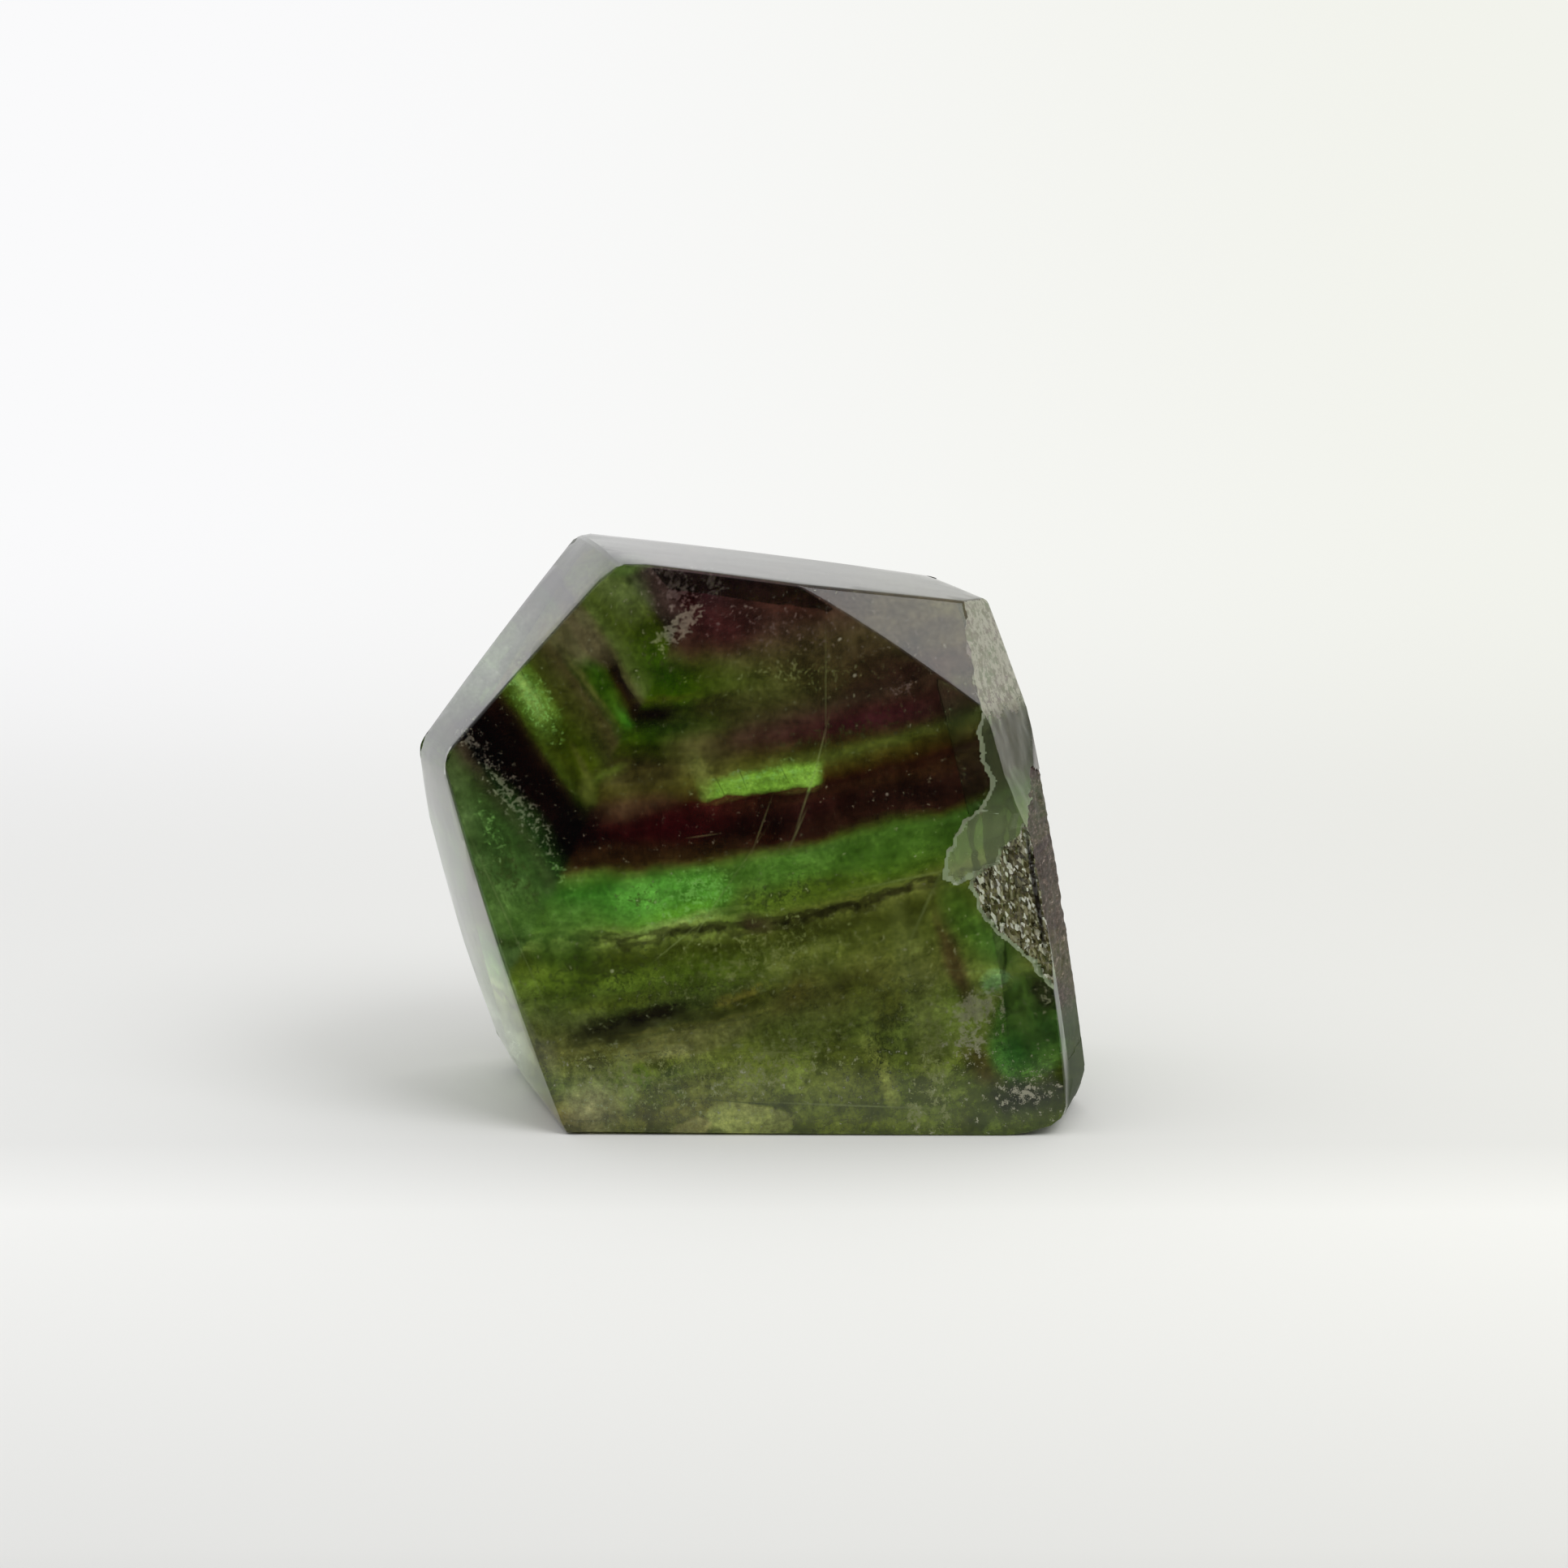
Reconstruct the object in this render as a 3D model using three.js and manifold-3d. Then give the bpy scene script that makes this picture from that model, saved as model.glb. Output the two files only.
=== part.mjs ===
// Rainbow fluorite freeform: one piece of banded fluorite, ground flat underneath so that it stands
// on its own and polished into broad faces that are each very slightly crowned, as hand lapping
// leaves them. Shell-shaped chips break the right-hand edge of the front face.
// Millimetres, +Z up. The front face looks towards -Y and the foot lies on Z = 0.

import * as THREE from 'three';
import { mergeVertices } from 'three/addons/utils/BufferGeometryUtils.js';
import Module from 'manifold-3d';

// Every face is a shallow dome. It is placed by the direction it looks in and by how far its
// highest point lies from the heart of the stone.
// azimuth: 0 looks to the front, 90 to the right, 180 to the back; elevation: 90 looks straight up.
// reach: mm from the heart to the dome's top. crown: the dome's radius in mm.
const HEART = new THREE.Vector3(0, 0, 26);
const FACES = [
  { name: 'front', azimuth: -0.5, elevation: 6.5, reach: 15.55, crown: 3000 },
  { name: 'upper left', azimuth: -77.5, elevation: 42, reach: 26.2, crown: 900 },
  { name: 'lower left', azimuth: -74.5, elevation: -15, reach: 27.2, crown: 300 },
  { name: 'top', azimuth: 89.5, elevation: 82.5, reach: 22.1, crown: 900 },
  { name: 'brow', azimuth: 18.5, elevation: 32, reach: 23.4, crown: 220 },
  { name: 'broken right', azimuth: 67, elevation: 21, reach: 26.7, crown: 260 },
  { name: 'lower right', azimuth: 76.5, elevation: 12.5, reach: 26.7, crown: 400 },
  { name: 'right heel', azimuth: 86, elevation: -32, reach: 39.3, crown: 400 },
  { name: 'right sole', azimuth: 86, elevation: -83.5, reach: 28.6, crown: 3000 },
  { name: 'left heel', azimuth: -80, elevation: -50, reach: 32.5, crown: 400 },
  { name: 'back', azimuth: 177, elevation: 5, reach: 17, crown: 400 },
  { name: 'back left', azimuth: -150, elevation: 5, reach: 19, crown: 400 },
  { name: 'back top', azimuth: 166, elevation: 54, reach: 22.2, crown: 400 },
  { name: 'back upper left', azimuth: -118, elevation: 22, reach: 25.9, crown: 250 },
  { name: 'back lower left', azimuth: -120, elevation: -20, reach: 30.3, crown: 110 },
  { name: 'back upper right', azimuth: 112, elevation: 15, reach: 23.1, crown: 260 },
  { name: 'back right', azimuth: 104, elevation: 9, reach: 24, crown: 400 },
];

// Ridges that the polishing wheel has rounded over, each taken down by one narrow face.
// cut: mm taken off the sharp ridge.
const ROUNDED_RIDGES = [
  { between: ['upper left', 'top'], cut: 0.3 },
  { between: ['upper left', 'lower left'], cut: 0.5 },
  { between: ['lower right', 'right heel'], cut: 0.5 },
  { between: ['right heel', 'right sole'], cut: 0.6 },
];
const RIDGE_CROWN = 150;

// Conchoidal chips on the front face's right-hand edge: x and z of the middle of the bite, its
// half width across the face and its depth.
const CHIPS = [
  { x: 23, z: 33.3, halfWidth: 3.6, depth: 0.7 },
  { x: 24.2, z: 22.4, halfWidth: 6.7, depth: 0.9 },
  { x: 25.7, z: 20.8, halfWidth: 6.3, depth: 1.5 },
];

const STOCK = { width: 90, depth: 70, height: 80 };
const DOME_REACH = 62;
const DOME_DEPTH = 90;
const DOME_RINGS = 12;
const DOME_SIDES = 28;
const CHIP_SIDES = 48;

const wasm = await Module();
wasm.setup();

// The direction a face looks in.
function facing({ azimuth, elevation }) {
  const turn = THREE.MathUtils.degToRad(azimuth);
  const rise = THREE.MathUtils.degToRad(elevation);
  return new THREE.Vector3(
    Math.sin(turn) * Math.cos(rise),
    -Math.cos(turn) * Math.cos(rise),
    Math.sin(rise),
  );
}

// A closed solid for cutting, from a three.js geometry that is already in place.
function solidFrom(geometry) {
  const bare = geometry.clone();
  bare.deleteAttribute('normal');
  bare.deleteAttribute('uv');
  const welded = mergeVertices(bare, 1e-5);
  return new wasm.Manifold(new wasm.Mesh({
    numProp: 3,
    vertProperties: new Float32Array(welded.attributes.position.array),
    triVerts: new Uint32Array(welded.index.array),
  }));
}

// A three.js geometry with flat-shaded faces, from a cut solid.
function geometryFrom(solid) {
  const mesh = solid.getMesh();
  const geometry = new THREE.BufferGeometry();
  geometry.setAttribute('position', new THREE.BufferAttribute(mesh.vertProperties, 3));
  geometry.setIndex(new THREE.BufferAttribute(mesh.triVerts, 1));
  const flat = geometry.toNonIndexed();
  flat.computeVertexNormals();
  return flat;
}

// The stock that one face leaves: a deep round block with a shallow dome on its outer end.
function domedBlock(direction, reach, crown) {
  const profile = [
    new THREE.Vector2(0, -DOME_DEPTH),
    new THREE.Vector2(DOME_REACH, -DOME_DEPTH),
  ];
  for (let ring = DOME_RINGS; ring >= 0; ring -= 1) {
    const radius = (DOME_REACH * ring) / DOME_RINGS;
    const drop = crown - Math.sqrt(crown * crown - radius * radius);
    profile.push(new THREE.Vector2(radius, -drop));
  }
  const dome = new THREE.LatheGeometry(profile, DOME_SIDES);
  const axis = new THREE.Vector3(0, 1, 0);
  dome.applyQuaternion(new THREE.Quaternion().setFromUnitVectors(axis, direction));
  const top = HEART.clone().addScaledVector(direction, reach);
  dome.translate(top.x, top.y, top.z);
  return solidFrom(dome);
}

// A narrow face along the ridge where two faces meet.
function ridgeFace({ between, cut }) {
  const [first, second] = between.map((name) => FACES.find((face) => face.name === name));
  const sum = facing(first).add(facing(second));
  const sharp = (first.reach + second.reach) / sum.length();
  return domedBlock(sum.normalize(), sharp - cut, RIDGE_CROWN);
}

// The ball whose cap is one chip. Its rim is a circle on the front face.
function chipBall({ x, z, halfWidth, depth }) {
  const front = FACES.find((face) => face.name === 'front');
  const direction = facing(front);
  const dropped = front.reach - (x * x + (z - HEART.z) ** 2) / (2 * front.crown);
  const alongY = (dropped - direction.x * x - direction.z * (z - HEART.z)) / direction.y;
  const radius = (halfWidth * halfWidth + depth * depth) / (2 * depth);
  const centre = new THREE.Vector3(x, alongY, z).addScaledVector(direction, radius - depth);
  const ball = new THREE.SphereGeometry(radius, CHIP_SIDES, CHIP_SIDES);
  ball.translate(centre.x, centre.y, centre.z);
  return solidFrom(ball);
}

function fluoriteFreeform() {
  const stock = new THREE.BoxGeometry(STOCK.width, STOCK.depth, STOCK.height);
  stock.translate(0, 0, STOCK.height / 2);
  let stone = solidFrom(stock);
  for (const face of FACES) {
    stone = stone.intersect(domedBlock(facing(face), face.reach, face.crown));
  }
  for (const ridge of ROUNDED_RIDGES) {
    stone = stone.intersect(ridgeFace(ridge));
  }
  for (const chip of CHIPS) {
    stone = stone.subtract(chipBall(chip));
  }
  const banded = new THREE.MeshStandardMaterial({
    color: 0x4c5f2b,
    roughness: 0.12,
    metalness: 0,
    transparent: true,
    opacity: 0.85,
  });
  const mesh = new THREE.Mesh(geometryFrom(stone), banded);
  mesh.name = 'fluorite_freeform';
  return mesh;
}

const part = new THREE.Group();
part.name = 'rainbow_fluorite_freeform';
part.add(fluoriteFreeform());

export default part;
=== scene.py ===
# Rainbow fluorite freeform: a polished stone with a chipped edge, on a plain sweep of card.

import math
from contextlib import contextmanager

import bmesh
import bpy
import numpy as np
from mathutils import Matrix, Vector, noise


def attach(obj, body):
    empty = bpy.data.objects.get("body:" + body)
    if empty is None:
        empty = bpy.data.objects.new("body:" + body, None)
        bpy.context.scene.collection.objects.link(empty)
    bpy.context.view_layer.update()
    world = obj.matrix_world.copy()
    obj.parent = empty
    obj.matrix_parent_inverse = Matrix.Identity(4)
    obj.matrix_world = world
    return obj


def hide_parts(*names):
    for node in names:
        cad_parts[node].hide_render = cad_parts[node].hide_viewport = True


MM = 0.001
NODE = "fluorite_freeform"

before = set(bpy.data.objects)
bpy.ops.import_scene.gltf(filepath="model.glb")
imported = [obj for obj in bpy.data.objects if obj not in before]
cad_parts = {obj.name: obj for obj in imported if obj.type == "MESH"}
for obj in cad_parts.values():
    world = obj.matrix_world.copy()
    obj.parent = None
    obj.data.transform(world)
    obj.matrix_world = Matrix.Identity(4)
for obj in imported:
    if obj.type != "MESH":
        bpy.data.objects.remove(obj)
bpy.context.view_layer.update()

# ---------------------------------------------------------------- the stone's faces
# Each face is a shallow dome: the direction it looks in (azimuth 0 is the front, 90 the right;
# elevation 90 is straight up), how far its top lies from the heart of the stone, and the radius
# of the dome, in millimetres.
HEART = Vector((0, 0, 26))
BLOCK = (90, 70, 80)     # the rough block: width, depth and height in mm
FACES = {
    "front": (-0.5, 6.5, 15.55, 3000),
    "upper left": (-77.5, 42, 26.2, 900),
    "lower left": (-74.5, -15, 27.2, 300),
    "top": (89.5, 82.5, 22.1, 900),
    "brow": (18.5, 32, 23.4, 220),
    "broken right": (67, 21, 26.7, 260),
    "lower right": (76.5, 12.5, 26.7, 400),
    "right heel": (86, -32, 39.3, 400),
    "right sole": (86, -83.5, 28.6, 3000),
    "left heel": (-80, -50, 32.5, 400),
    "back": (177, 5, 16.98, 400),
    "back left": (-150, 5, 19, 400),
    "back top": (166, 54, 22.2, 400),
    "back upper left": (-118, 22, 25.9, 250),
    "back lower left": (-120, -20, 30.3, 110),
    "back upper right": (112, 15, 23.1, 260),
    "back right": (104, 9, 24, 400),
}
FOOT = (0, -90, 26, 1e6)

# Ridges that the polishing wheel has flattened: the two faces and the mm taken off. RIDGE_CROWN is
# the radius in mm of the narrow face that is left.
FLATTENED_RIDGES = (
    ("upper left", "top", 0.3),
    ("upper left", "lower left", 0.5),
    ("lower right", "right heel", 0.5),
    ("right heel", "right sole", 0.6),
)
RIDGE_CROWN = 150

# How far the polish has rounded each edge, in mm back from the sharp line.
PLAIN_EDGE = 0.28
WORN_EDGES = {
    ("upper left", "top"): 0.5,
    ("back", "foot"): 0.12,
    ("upper left", "lower left"): 1.5,
    ("upper left", "back upper left"): 0.5,
    ("top", "back top"): 0.5,
    ("lower right", "right heel"): 2.2,
    ("right heel", "right sole"): 2.2,
    ("lower left", "left heel"): 1.5,
    ("left heel", "foot"): 1.0,
    ("top", "back upper right"): 1.2,
    ("broken right", "back upper right"): 0.9,
}
WIDEST_EDGE = 2.2
ROUNDING_STEPS = 4
SHORTEST_EDGE = 0.9      # mm: corners closer than this are one corner, and leave room for rounding
GRID_STEP = 2.0          # mm between the cuts that give the crowned faces points to bend at
GRID_SHIFT = 0.37        # of a step, which keeps the cuts off the corners
DOME_BLEND = 1.2         # mm from a face over which its dome still pulls at the points
SETTLING_PASSES = 12
SMALLEST_GAP = 0.004     # mm: points closer than this are merged
SHARPEST_SMOOTH = math.radians(24)

# The tools that break the stone.
TOOL_HEIGHT = 8          # mm
STAND_OFF = 0.4          # mm between a tool and the parts of the face it leaves alone
WALL_WIDTH = 0.35        # mm over which a bite drops to its lip
BITE_FALL = 6.0          # mm over which it falls from the lip to its full depth
LIP_WIDTH = 0.42         # mm
SHELL_CENTRE = 29        # mm to the right, where the blows fell that the shell rings spread from

# The bites broken out of the right-hand edge, as outlines on the front face (x, z in mm): how deep
# each one is at its lip and where it leaves the stone, how its floor broke, and how ragged its
# outline is (mm).
BITES = (
    {
        "name": "upper bite", "lip": 0.22, "depth": 1.0, "skin": "shell", "seed": 3,
        "ragged": 0.22,
        "outline": (
            (20.3, 37.2), (19.7, 35.3), (19.8, 33.8), (20.0, 32.4), (20.5, 31.4), (20.9, 30.7),
            (20.5, 29.3), (19.8, 28.2), (22.0, 27.2), (30, 27.0), (30, 37.8),
        ),
    },
    {
        "name": "middle bite", "lip": 0.16, "depth": 0.75, "skin": "shell", "seed": 7,
        "ragged": 0.3,
        "outline": (
            (20.8, 30.0), (19.8, 28.4), (18.7, 27.4), (17.7, 25.8), (16.9, 24.0), (16.6, 22.3),
            (17.9, 21.7), (19.4, 22.4), (21.6, 23.0), (30, 23.0), (30, 30.4),
        ),
    },
    {
        "name": "stepped hollow", "lip": 0.55, "depth": 1.75, "skin": "stepped", "seed": 11,
        "ragged": 0.28,
        "outline": (
            (23.6, 27.2), (21.7, 25.2), (21.2, 23.9), (19.4, 23.0), (19.1, 21.6), (19.4, 20.2),
            (20.4, 18.8), (21.6, 17.4), (23.0, 16.2), (23.9, 15.5), (24.9, 14.3), (26.3, 12.5),
            (30, 11.4), (30, 27.4),
        ),
    },
)


def facing(azimuth, elevation):
    turn, rise = math.radians(azimuth), math.radians(elevation)
    level = math.cos(rise)
    return Vector((math.sin(turn) * level, -math.cos(turn) * level, math.sin(rise)))


def all_faces():
    return {**FACES, "foot": FOOT}


# ---------------------------------------------------------------- working by hand
def rest_tools():
    if bpy.context.object and bpy.context.object.mode != "OBJECT":
        bpy.ops.object.mode_set(mode="OBJECT")
    bpy.ops.object.select_all(action="DESELECT")


def pick(piece):
    rest_tools()
    piece.select_set(True)
    bpy.context.view_layer.objects.active = piece


@contextmanager
def whole_mesh(piece):
    """Edit mode with everything selected, and back again."""
    pick(piece)
    bpy.ops.object.mode_set(mode="EDIT")
    bpy.ops.mesh.select_all(action="SELECT")
    yield
    bpy.ops.object.mode_set(mode="OBJECT")


def apply_modifier(piece, kind, name, **settings):
    pick(piece)
    modifier = piece.modifiers.new(name, kind)
    for key, value in settings.items():
        setattr(modifier, key, value)
    bpy.ops.object.modifier_apply(modifier=modifier.name)


# ---------------------------------------------------------------- grinding the stone
def rough_block():
    width, depth, height = (side * MM for side in BLOCK)
    rest_tools()
    bpy.ops.mesh.primitive_cube_add(size=1, location=(0, 0, height / 2))
    block = bpy.context.object
    block.name = "stone"
    block.dimensions = (width, depth, height)
    bpy.ops.object.transform_apply(location=True, rotation=True, scale=True)
    return block


def grind_flat(block):
    with whole_mesh(block):
        for azimuth, elevation, reach, _ in FACES.values():
            direction = facing(azimuth, elevation)
            bpy.ops.mesh.bisect(
                plane_co=(HEART + direction * reach) * MM,
                plane_no=direction,
                use_fill=True,
                clear_outer=True,
            )
            bpy.ops.mesh.select_all(action="SELECT")
        bpy.ops.mesh.remove_doubles(threshold=SHORTEST_EDGE * MM)


def faces_at(point, slack=0.05):
    """The names of the faces whose plane passes within slack of a point, both in mm."""
    return {
        name for name, (azimuth, elevation, reach, _) in all_faces().items()
        if abs(facing(azimuth, elevation).dot(point - HEART) - reach) < slack
    }


def round_edges(block):
    mesh = block.data
    weights = mesh.attributes.new("bevel_weight_edge", "FLOAT", "EDGE")
    for edge in mesh.edges:
        middle = sum((mesh.vertices[i].co for i in edge.vertices), Vector()) / 2 / MM
        pair = faces_at(middle)
        width = next((worn for names, worn in WORN_EDGES.items() if set(names) <= pair), PLAIN_EDGE)
        weights.data[edge.index].value = width / WIDEST_EDGE
    apply_modifier(
        block, "BEVEL", "worn edges",
        limit_method="WEIGHT", width=WIDEST_EDGE * MM, offset_type="OFFSET",
        segments=ROUNDING_STEPS, use_clamp_overlap=False,
    )


def score_grid(block):
    """Cuts each face into small tiles, so that it can bend."""
    corners = np.array([vertex.co for vertex in block.data.vertices])
    low, high = corners.min(0), corners.max(0)
    with whole_mesh(block):
        for axis in range(3):
            direction = [0, 0, 0]
            direction[axis] = 1
            steps = int((high[axis] - low[axis]) / (GRID_STEP * MM)) + 1
            for step in range(1, steps):
                place = [0, 0, 0]
                place[axis] = low[axis] + (step - GRID_SHIFT) * GRID_STEP * MM
                bpy.ops.mesh.bisect(plane_co=place, plane_no=direction)
                bpy.ops.mesh.select_all(action="SELECT")


def crown_faces(block):
    """Bends each flat face into its shallow dome, and meets both domes at once near an edge. Then
    takes off whatever still stands proud of a dome or of a flattened ridge."""
    mesh = block.data
    points = np.empty(len(mesh.vertices) * 3)
    mesh.vertices.foreach_get("co", points)
    points = points.reshape(-1, 3) / MM
    normals, reaches, crowns = [], [], []
    for azimuth, elevation, reach, crown in all_faces().values():
        normals.append(facing(azimuth, elevation))
        reaches.append(reach)
        crowns.append(crown)
    normals, reaches, crowns = np.array(normals), np.array(reaches), np.array(crowns, float)
    out = points - np.array(HEART)
    along = out @ normals.T
    sideways = np.maximum((out ** 2).sum(1)[:, None] - along ** 2, 0)
    sag = sideways / (2 * crowns)
    near = np.exp(-((reaches - along) / DOME_BLEND) ** 2)
    just_solvable = np.eye(3) * 1e-3
    pull = np.einsum("vf,fi,fj->vij", near, normals, normals) + just_solvable
    push = -np.einsum("vf,vf,fi->vi", near, sag, normals)
    points += np.linalg.solve(pull, push[..., None])[..., 0]
    for first, second, cut in FLATTENED_RIDGES:
        both = facing(*FACES[first][:2]) + facing(*FACES[second][:2])
        normals = np.vstack([normals, both.normalized()])
        reaches = np.append(reaches, (FACES[first][2] + FACES[second][2]) / both.length - cut)
        crowns = np.append(crowns, RIDGE_CROWN)
    centres = np.array(HEART) + normals * (reaches - crowns)[:, None]
    for _ in range(SETTLING_PASSES):
        for centre, crown in zip(centres, crowns):
            away = points - centre
            far = np.linalg.norm(away, axis=1)
            points -= away * (np.maximum(far - crown, 0) / far)[:, None]
    mesh.vertices.foreach_set("co", (points * MM).ravel())
    mesh.update()


# ---------------------------------------------------------------- breaking the edge
def surface_point(x, z, face):
    """The point on a face's dome with this x and z, in mm."""
    azimuth, elevation, reach, crown = FACES[face]
    direction = facing(azimuth, elevation)
    dropped = reach - (x * x + (z - HEART.z) ** 2) / (2 * crown)
    y = (dropped - direction.x * x - direction.z * (z - HEART.z)) / direction.y
    return Vector((x, y, z))


# Each kind of break has its own skin, kept in the four channels of a colour attribute.
SKINS = {
    "polished": (0.0, 0.0, 0.0, 1.0),
    "frosted": (1.0, 0.0, 0.0, 1.0),
    "stepped": (0.0, 1.0, 0.0, 1.0),
    "shell": (0.0, 0.0, 0.5, 1.0),
    "lip": (0.0, 0.0, 1.0, 1.0),
    "ribbed": (0.0, 0.0, 0.0, 0.0),
}


def along_face(direction):
    """The level direction along a face, and the one that climbs it."""
    across = Vector((0, 0, 1)).cross(direction).normalized()
    return across, direction.cross(across)


def breaking_tool(name, place, direction, size, depth_at, skin_at, step):
    """A block of size mm whose working face is a grid of step mm, carved to depth_at(across, up) mm
    below place; skin_at(across, up) names the skin that it leaves."""
    rest_tools()
    count = int(size / step)
    bpy.ops.mesh.primitive_grid_add(x_subdivisions=count, y_subdivisions=count, size=1)
    tool = bpy.context.object
    tool.name = name
    for skin in SKINS:
        tool.data.materials.append(bpy.data.materials[skin])
    order = list(SKINS)
    for polygon in tool.data.polygons:
        s, t = polygon.center.x * size, polygon.center.y * size
        polygon.material_index = order.index(skin_at(s, t))
    across, rise = along_face(direction)
    for vertex in tool.data.vertices:
        s, t = vertex.co.x * size, vertex.co.y * size
        below = depth_at(s, t)
        vertex.co = (place + across * s + rise * t - direction * below) * MM
    with whole_mesh(tool):
        lift = direction * TOOL_HEIGHT * MM
        bpy.ops.mesh.extrude_region_move(TRANSFORM_OT_translate={"value": lift})
        bpy.ops.mesh.select_all(action="SELECT")
        bpy.ops.mesh.normals_make_consistent(inside=False)
    return tool


def take_away(block, tool):
    apply_modifier(
        block, "BOOLEAN", "break",
        object=tool, operation="DIFFERENCE", solver="MANIFOLD", material_mode="TRANSFER",
    )
    bpy.data.objects.remove(tool, do_unlink=True)


def held(value, low=0):
    """The value, kept between low and 1."""
    return min(max(value, low), 1)


def inside_outline(outline, x, z):
    """How far inside a closed outline a point lies, in mm; outside it the distance is negative."""
    near, inside = 1e9, False
    for (ax, az), (bx, bz) in zip(outline, outline[1:] + outline[:1]):
        wide, tall = bx - ax, bz - az
        along = held(((x - ax) * wide + (z - az) * tall) / (wide ** 2 + tall ** 2))
        near = min(near, math.hypot(x - ax - along * wide, z - az - along * tall))
        if (az > z) != (bz > z) and x < ax + (z - az) / (bz - az) * (bx - ax):
            inside = not inside
    return near if inside else -near


def bite_tool(bite):
    """The block whose end is one bite's floor. It comes in square to the front face."""
    direction = facing(*FACES["front"][:2])
    steepness = math.cos(math.radians(FACES["front"][1]))
    outline, seed = bite["outline"], bite["seed"]
    wide, tall = zip(*outline)
    middle_x, middle_z = (min(wide) + max(wide)) / 2, (min(tall) + max(tall)) / 2
    place = surface_point(middle_x, middle_z, "front")
    margin = 1.2
    size = max(max(wide) - min(wide), max(tall) - min(tall)) + margin

    def spot_at(s, t):
        return middle_x + s, middle_z + t * steepness

    def inward_at(s, t):
        x, z = spot_at(s, t)
        ragged = bite["ragged"] * noise.fractal(Vector((x * 0.9, z * 0.9, seed)), 0.8, 2.0, 4)
        return inside_outline(outline, x, z) + ragged

    def depth_at(s, t):
        x, z = spot_at(s, t)
        inward = inward_at(s, t)
        if inward < 0:
            return -STAND_OFF
        wall = min(inward / WALL_WIDTH, 1)
        fall = min(inward / BITE_FALL, 1)
        bowl = bite["lip"] * wall + (bite["depth"] - bite["lip"]) * fall ** 1.3
        if bite["skin"] == "shell":
            # Faint rings, 1.4 mm apart, spread from where the blow fell.
            ring = math.hypot(x - SHELL_CENTRE, z - middle_z)
            sway = 2 * noise.noise(Vector((x * 0.3, z * 0.3, seed)))
            return bowl + 0.035 * math.sin(ring * 4.5 + sway)
        # Steps 0.4 mm wide, in larger flakes of about 0.9 by 1.7 mm, each step tilted its own way.
        lean = x * 0.42 + z * 0.91
        cell = noise.cell_vector(Vector((x * 2.4 - z * 0.5, lean * 0.75, seed)))
        flake = noise.cell_vector(Vector((x * 1.1, z * 0.6, seed + 4)))
        tilt = 0.3 * (cell.y - 0.5) * ((x * 2.4) % 1)
        return bowl + wall * (0.34 * (cell.x - 0.5) + 0.5 * (flake.y - 0.5) + tilt)

    def skin_at(s, t):
        return "lip" if inward_at(s, t) < LIP_WIDTH else bite["skin"]

    return breaking_tool(bite["name"], place, direction, size, depth_at, skin_at, step=0.15)


def broken_face_tool():
    """The snapped upper corner: rough by the brow, smoother to the right and below."""
    azimuth, elevation, reach, crown = FACES["broken right"]
    direction = facing(azimuth, elevation)
    middle = Vector((22.5, 0, 39))
    place = middle + direction * (reach - direction.dot(middle - HEART))

    def crushed_at(s, t):
        ragged = 1.1 * noise.fractal(Vector((s * 0.5, t * 0.5, 4)), 0.8, 2.0, 3)
        return held((6.0 - s + 0.5 * t + ragged) / 7) * held((t + ragged + 5.0) / 3)

    def depth_at(s, t):
        away = (place - HEART - direction * reach).length
        sag = away * away / (2 * crown)
        slow = noise.fractal(Vector((s * 0.16, t * 0.16, 2)), 1.0, 2.0, 3)
        fine = noise.fractal(Vector((s * 0.9, t * 0.9, 9)), 0.8, 2.0, 4)
        return sag + 0.12 + 0.22 * slow + (0.03 + 0.07 * crushed_at(s, t)) * fine

    def skin_at(s, t):
        return "frosted" if crushed_at(s, t) > 0.3 else "shell"

    width = 34
    return breaking_tool("snapped corner", place, direction, width, depth_at, skin_at, step=0.26)


def ribbed_side_tool():
    """The side below the snapped corner broke in level ribs, about 1.5 mm apart."""
    azimuth, elevation, reach, crown = FACES["lower right"]
    direction = facing(azimuth, elevation)
    middle = Vector((26, 0, 20))
    place = middle + direction * (reach - direction.dot(middle - HEART))
    across, rise = along_face(direction)

    def depth_at(s, t):
        out = (place + across * s + rise * t - HEART - direction * reach).length
        sag = out * out / (2 * crown)
        low, high = -14.0 + 0.06 * s, 9.3 - 0.1 * s
        edge = min(t - low, high - t) + 0.8 * noise.noise(Vector((s * 0.4, t * 0.4, 8)))
        if edge < 0:
            return sag - STAND_OFF
        wander = noise.fractal(Vector((s * 0.2, t * 0.3, 5)), 0.9, 2.0, 3)
        rib = abs(math.sin((t * 1.3 + 3.0 * wander) * math.pi * 0.5))
        swell = max(noise.noise(Vector((s * 0.3, t * 0.25, 12))) + 0.5, 0.1)
        fine = noise.fractal(Vector((s * 0.5, t * 2.2, 6)), 0.8, 2.0, 4)
        calm = held((t + 9.5) / 2.5, 0.3)
        return sag + 0.04 + calm * (0.06 + 0.13 * swell * rib + 0.12 * fine)

    def skin_at(s, t):
        return "ribbed"

    width = 30
    return breaking_tool("ribbed side", place, direction, width, depth_at, skin_at, step=0.24)


def mark_broken_skin(stone):
    """Writes the skin of each face to the colour attribute, and drops the tools' materials."""
    mesh = stone.data
    skins = [SKINS[slot.name] for slot in mesh.materials]
    layer = mesh.color_attributes.new("broken", "FLOAT_COLOR", "CORNER")
    for polygon in mesh.polygons:
        for corner in polygon.loop_indices:
            layer.data[corner].color = skins[polygon.material_index]
        polygon.material_index = 0
    mesh.materials.clear()


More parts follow.
